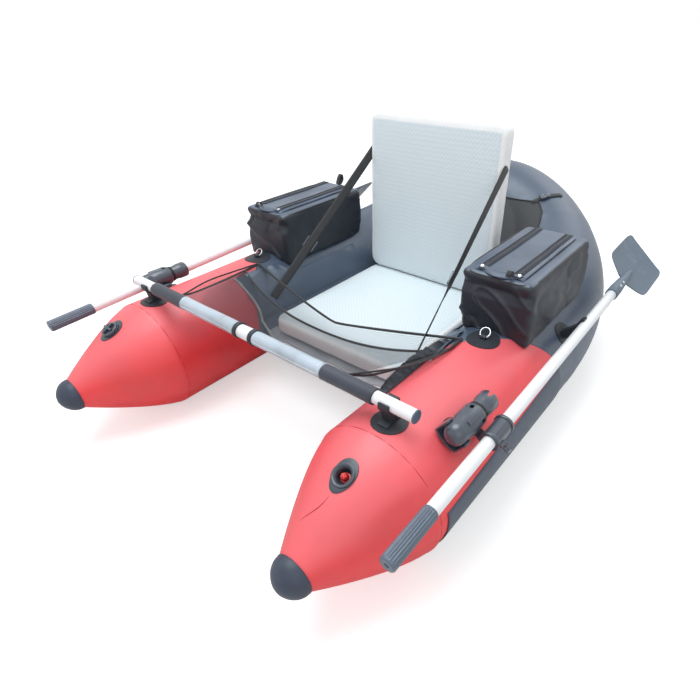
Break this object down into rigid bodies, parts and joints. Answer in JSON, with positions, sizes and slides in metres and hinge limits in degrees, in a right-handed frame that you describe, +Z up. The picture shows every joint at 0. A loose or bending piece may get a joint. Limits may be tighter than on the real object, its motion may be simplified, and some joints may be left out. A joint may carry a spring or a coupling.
{
  "type": "float tube",
  "caption": "U-shaped inflatable float tube with folding seat, stripping apron, tackle bags, rod holders and stowed oars on swivel mounts.",
  "frame": {"origin": "middle of the outline's bounding box, on the plane that the pontoons rest on", "axes": "-Y towards the two noses, +Y towards the raised stern, +X to the side with the open valve, +Z up"},
  "size_m": [1.2862, 1.687, 0.6866],
  "materials": {
    "red_pvc": "satin",
    "dark_pvc": "satin",
    "black_rubber": "matte",
    "black_plastic": "satin",
    "black_fabric": "matte",
    "grey_fabric": "satin",
    "seat_pvc": "satin",
    "white_metal": "gloss",
    "silver_sleeve": "satin",
    "foam": "matte",
    "steel": "polished",
    "blade_plastic": "satin",
    "red_plastic": "gloss"
  },
  "bodies": {
    "hull": {"right_pontoon": "red_pvc", "right_nose_cap": "black_rubber", "right_rub_band": "dark_pvc", "right_valve": "black_rubber", "right_bar_saddle": "black_rubber", "right_ring_patch": "black_rubber", "right_mount_base": "black_rubber", "right_oar_keeper": "black_rubber", "right_back_strap": "black_fabric", "right_bag": "black_fabric", "right_bar_foam": "foam", "right_bar_sleeve": "silver_sleeve", "right_bar_ring": "black_plastic", "left_pontoon": "red_pvc", "left_nose_cap": "black_rubber", "left_rub_band": "dark_pvc", "left_valve": "black_rubber", "left_bar_saddle": "black_rubber", "left_ring_patch": "black_rubber", "left_mount_base": "black_rubber", "left_oar_keeper": "black_rubber", "left_back_strap": "black_fabric", "left_bag": "black_fabric", "left_bar_foam": "foam", "left_bar_sleeve": "silver_sleeve", "left_bar_ring": "black_plastic", "rear_tube": "dark_pvc", "crossbar_tube": "white_metal", "bar_centre_band": "white_metal", "seat_sling": "grey_fabric", "seat_cushion": "seat_pvc", "apron_net": "black_fabric", "apron_border": "black_fabric", "cargo_deck": "black_fabric", "cargo_strap": "black_fabric"},
    "right_ring_body": {"right_ring": "steel"},
    "right_mount": {"right_oar_bracket": "black_plastic", "right_clamp_cap": "black_plastic"},
    "right_knob": {"right_clamp_knob": "black_plastic"},
    "right_barrel": {"right_rod_barrel": "black_plastic"},
    "right_socket": {"right_rod_socket": "black_plastic"},
    "right_oar": {"right_oar_shaft": "white_metal", "right_oar_grip": "black_rubber", "right_oar_blade": "blade_plastic"},
    "right_lid": {"right_bag_lid": "black_fabric"},
    "left_ring_body": {"left_ring": "steel"},
    "left_mount": {"left_oar_bracket": "black_plastic", "left_clamp_cap": "black_plastic"},
    "left_knob": {"left_clamp_knob": "black_plastic"},
    "left_barrel": {"left_rod_barrel": "black_plastic"},
    "left_socket": {"left_rod_socket": "black_plastic"},
    "left_oar": {"left_oar_shaft": "white_metal", "left_oar_grip": "black_rubber", "left_oar_blade": "blade_plastic"},
    "left_lid": {"left_bag_lid": "black_fabric"},
    "backrest_body": {"backrest": "seat_pvc"},
    "poppet": {"right_valve_poppet": "red_plastic"},
    "cap": {"left_valve_cap": "black_rubber"}
  },
  "joints": [
    {"name": "right_oar_swing", "type": "hinge", "parent": "hull", "child": "right_mount", "pos_m": [0.51043, -0.4515, 0.27714], "axis": [0.6157, 0, 0.788], "range_deg": [-45, 0]},
    {"name": "right_oar_feather", "type": "hinge", "parent": "right_mount", "child": "right_oar", "pos_m": [0.58298, -0.4135, 0.28391], "axis": [0, 0.9994, 0.0354], "range_deg": [-50, 10]},
    {"name": "right_clamp_turn", "type": "hinge", "parent": "right_mount", "child": "right_knob", "pos_m": [0.6061, -0.42517, 0.27444], "axis": [0.7882, 0.0218, -0.615], "range_deg": [-180, 180]},
    {"name": "right_barrel_tilt", "type": "hinge", "parent": "right_mount", "child": "right_barrel", "pos_m": [0.53505, -0.4815, 0.30866], "axis": [0.788, 0, -0.6157], "range_deg": [0, 45]},
    {"name": "right_socket_turn", "type": "hinge", "parent": "right_barrel", "child": "right_socket", "pos_m": [0.53505, -0.4132, 0.30866], "axis": [0, 1, 0], "range_deg": [-90, 90]},
    {"name": "right_ring_swing", "type": "hinge", "parent": "hull", "child": "right_ring_body", "pos_m": [0.415, -0.1765, 0.317], "axis": [1, 0, 0], "range_deg": [-30, 100]},
    {"name": "right_lid_lift", "type": "hinge", "parent": "hull", "child": "right_lid", "pos_m": [0.408, 0.1965, 0.4503], "axis": [-1, 0, 0], "range_deg": [0, 95]},
    {"name": "left_oar_swing", "type": "hinge", "parent": "hull", "child": "left_mount", "pos_m": [-0.51043, -0.4515, 0.27714], "axis": [-0.6157, 0, 0.788], "range_deg": [0, 45]},
    {"name": "left_oar_feather", "type": "hinge", "parent": "left_mount", "child": "left_oar", "pos_m": [-0.58298, -0.4135, 0.28391], "axis": [0, 0.9994, 0.0354], "range_deg": [-10, 50]},
    {"name": "left_clamp_turn", "type": "hinge", "parent": "left_mount", "child": "left_knob", "pos_m": [-0.6061, -0.42517, 0.27444], "axis": [-0.7882, 0.0218, -0.615], "range_deg": [-180, 180]},
    {"name": "left_barrel_tilt", "type": "hinge", "parent": "left_mount", "child": "left_barrel", "pos_m": [-0.53505, -0.4815, 0.30866], "axis": [-0.788, 0, -0.6157], "range_deg": [-45, 0]},
    {"name": "left_socket_turn", "type": "hinge", "parent": "left_barrel", "child": "left_socket", "pos_m": [-0.53505, -0.4132, 0.30866], "axis": [0, 1, 0], "range_deg": [-90, 90]},
    {"name": "left_ring_swing", "type": "hinge", "parent": "hull", "child": "left_ring_body", "pos_m": [-0.415, -0.1765, 0.317], "axis": [1, 0, 0], "range_deg": [-30, 100]},
    {"name": "left_lid_lift", "type": "hinge", "parent": "hull", "child": "left_lid", "pos_m": [-0.408, 0.1965, 0.4503], "axis": [-1, 0, 0], "range_deg": [0, 95]},
    {"name": "back_fold", "type": "hinge", "parent": "hull", "child": "backrest_body", "pos_m": [0, 0.1673, 0.2061], "axis": [1, 0, 0], "range_deg": [0, 80], "deforming": ["right_back_strap", "left_back_strap"]},
    {"name": "poppet_push", "type": "slide", "parent": "hull", "child": "poppet", "axis": [0, -0.4577, 0.8891], "range_m": [-0.004, 0], "stiffness_N_per_m": 300, "springref_m": 0.001},
    {"name": "cap_turn", "type": "hinge", "parent": "hull", "child": "cap", "pos_m": [-0.415, -0.66839, 0.28471], "axis": [0, -0.4577, 0.8891], "range_deg": [0, 90]}
  ]
}
